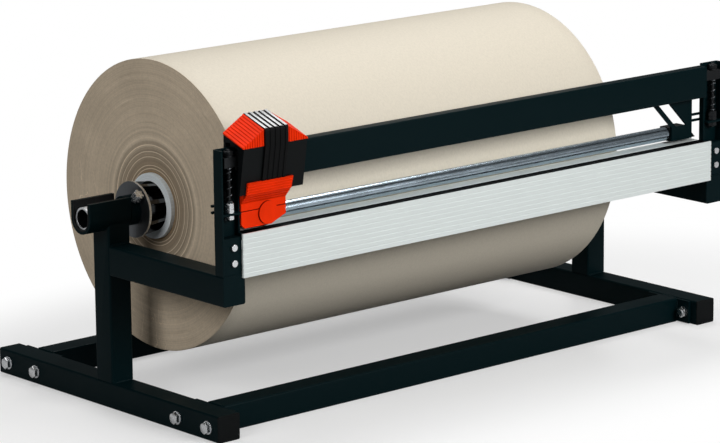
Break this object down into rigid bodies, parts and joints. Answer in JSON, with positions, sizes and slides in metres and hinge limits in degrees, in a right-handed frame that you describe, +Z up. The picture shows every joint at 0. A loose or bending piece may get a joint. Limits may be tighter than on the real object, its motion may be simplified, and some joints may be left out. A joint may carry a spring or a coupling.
{
  "type": "paper roll cutter",
  "caption": "Table-top roll stand for wrapping paper: square-tube frame, roll on a lift-out spindle, press-down guide beam with a sliding knife carriage.",
  "frame": {"origin": "on the floor, under the middle of the machine's outer box", "axes": "+X along the roll to the operator's right, +Y to the back, away from the operator, +Z up"},
  "size_m": [1.0864, 0.581, 0.5175],
  "materials": {
    "frame_paint": "black powder coat with a slight texture",
    "zinc": "bright zinc plating",
    "bright_tube": "polished chrome plating",
    "steel_shaft": "drawn steel, dulled",
    "black_plastic": "moulded, slightly glossy",
    "gloss_black_plastic": "moulded with polished ribs",
    "orange_plastic": "moulded with ribs, satin",
    "bed_aluminium": "extruded, natural anodised",
    "strip_plastic": "black cutting strip",
    "liner_plastic": "black nylon",
    "blade_steel": "ground tool steel",
    "spring_steel": "zinc-plated spring wire",
    "paper": "cream wrapping paper, matt",
    "core_card": "spiral-wound grey card"
  },
  "bodies": {
    "stand": {"rail_left": "frame_paint", "rail_right": "frame_paint", "rail_caps": "black_plastic", "cross_tube_front": "frame_paint", "cross_tube_rear": "frame_paint", "base_bolts": "zinc", "base_washers": "zinc", "base_nuts": "zinc", "upright_left": "frame_paint", "upright_right": "frame_paint", "arm_left": "frame_paint", "arm_right": "frame_paint", "post_left": "frame_paint", "post_right": "frame_paint", "cradle_left": "frame_paint", "cradle_right": "frame_paint", "cradle_liners": "liner_plastic", "mounting_blocks": "frame_paint", "bed_bracket_left": "frame_paint", "bed_bracket_right": "frame_paint", "bed_screws": "zinc", "bed_profile": "bed_aluminium", "cutting_strip": "strip_plastic", "guide_rods": "zinc", "guide_nuts": "zinc", "spring_seats": "frame_paint", "lift_spring_left": "spring_steel", "lift_spring_right": "spring_steel"},
    "spindle": {"shaft": "steel_shaft", "core": "core_card", "paper_roll": "paper", "hub_cone_left": "black_plastic", "hub_plate_left": "zinc", "collar_left": "frame_paint"},
    "left_lock": {"lock_knob_left": "zinc"},
    "right_hub": {"hub_cone_right": "black_plastic", "hub_plate_right": "zinc", "collar_right": "frame_paint"},
    "right_lock": {"lock_knob_right": "zinc"},
    "press_beam": {"guide_beam": "frame_paint", "beam_lugs": "frame_paint", "press_bracket_left": "frame_paint", "press_bracket_right": "frame_paint", "bracket_screws": "frame_paint", "end_blocks": "black_plastic", "press_axle": "steel_shaft"},
    "press_roller": {"press_tube": "bright_tube", "press_bushes": "liner_plastic"},
    "carriage": {"carriage_housing": "black_plastic", "glide_pads": "liner_plastic", "grip_wing_left": "orange_plastic", "grip_wing_right": "orange_plastic", "grip_band": "gloss_black_plastic", "knife_holder": "orange_plastic", "holder_screws": "zinc", "blade_cover": "orange_plastic", "blade_axle": "steel_shaft", "button_spring": "spring_steel"},
    "blade": {"blade": "blade_steel"},
    "button": {"release_button": "orange_plastic"}
  },
  "joints": [
    {"name": "spindle_spin", "type": "hinge", "parent": "stand", "child": "spindle", "pos_m": [0.0138, 0.0185, 0.295], "axis": [1, 0, 0], "continuous": true},
    {"name": "left_lock_turn", "type": "hinge", "parent": "spindle", "child": "left_lock", "pos_m": [-0.4562, 0.0185, 0.295], "axis": [0, -0.7071, 0.7071], "range_deg": [0, 720]},
    {"name": "right_hub_slide", "type": "slide", "parent": "spindle", "child": "right_hub", "axis": [1, 0, 0], "range_m": [0, 0.074]},
    {"name": "right_lock_turn", "type": "hinge", "parent": "right_hub", "child": "right_lock", "pos_m": [0.4088, 0.0185, 0.295], "axis": [0, -0.7071, 0.7071], "range_deg": [0, 720]},
    {"name": "press_down", "type": "slide", "parent": "stand", "child": "press_beam", "axis": [0, 0, 1], "range_m": [-0.0041, 0], "stiffness_N_per_m": 6000, "springref_m": 0.012, "deforming": ["lift_spring_left", "lift_spring_right"]},
    {"name": "press_tube_spin", "type": "hinge", "parent": "press_beam", "child": "press_roller", "pos_m": [0, -0.2355, 0.325], "axis": [1, 0, 0], "continuous": true},
    {"name": "carriage_slide", "type": "slide", "parent": "press_beam", "child": "carriage", "axis": [1, 0, 0], "range_m": [0, 0.866]},
    {"name": "blade_spin", "type": "hinge", "parent": "carriage", "child": "blade", "pos_m": [-0.4184, -0.2565, 0.3325], "axis": [0, 1, 0], "continuous": true},
    {"name": "button_press", "type": "slide", "parent": "carriage", "child": "button", "axis": [0, 1, 0], "range_m": [0, 0.0014], "stiffness_N_per_m": 600, "springref_m": -0.002, "deforming": ["button_spring"]}
  ],
  "couplings": [
    {"joint": "blade_spin", "follows": "carriage_slide", "rad_per_m": 45.455}
  ]
}
